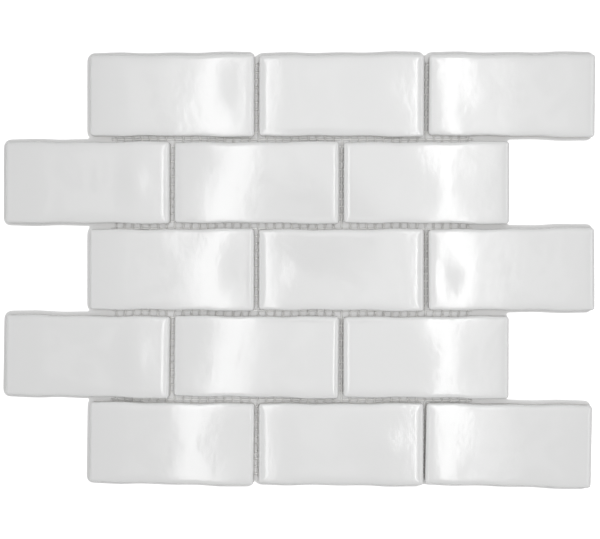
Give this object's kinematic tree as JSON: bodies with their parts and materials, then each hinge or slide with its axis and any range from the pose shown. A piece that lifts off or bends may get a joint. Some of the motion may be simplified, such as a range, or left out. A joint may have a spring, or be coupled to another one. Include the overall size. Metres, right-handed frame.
{
  "type": "mosaic tile sheet",
  "caption": "Flat sheet of rectangular white glazed ceramic tiles in running bond, held together by a glass-fibre backing net, for tiling walls.",
  "frame": {"origin": "middle of the sheet, at the underside of the backing net", "axes": "+X along the tiles' length, +Y up the sheet across the rows, +Z out of the glazed faces"},
  "size_m": [0.3502, 0.2572, 0.0088],
  "materials": {
    "white_glaze": "gloss",
    "net_yarn": "coated glass fibre"
  },
  "bodies": {
    "root": {"net_weft_yarns": "net_yarn", "net_warp_yarns": "net_yarn", "tile_row1_col1": "white_glaze", "tile_row1_col2": "white_glaze", "tile_row1_col3": "white_glaze", "tile_row2_col1": "white_glaze", "tile_row2_col2": "white_glaze", "tile_row2_col3": "white_glaze", "tile_row3_col1": "white_glaze", "tile_row3_col2": "white_glaze", "tile_row3_col3": "white_glaze", "tile_row4_col1": "white_glaze", "tile_row4_col2": "white_glaze", "tile_row4_col3": "white_glaze", "tile_row5_col1": "white_glaze", "tile_row5_col2": "white_glaze", "tile_row5_col3": "white_glaze"}
  },
  "joints": []
}
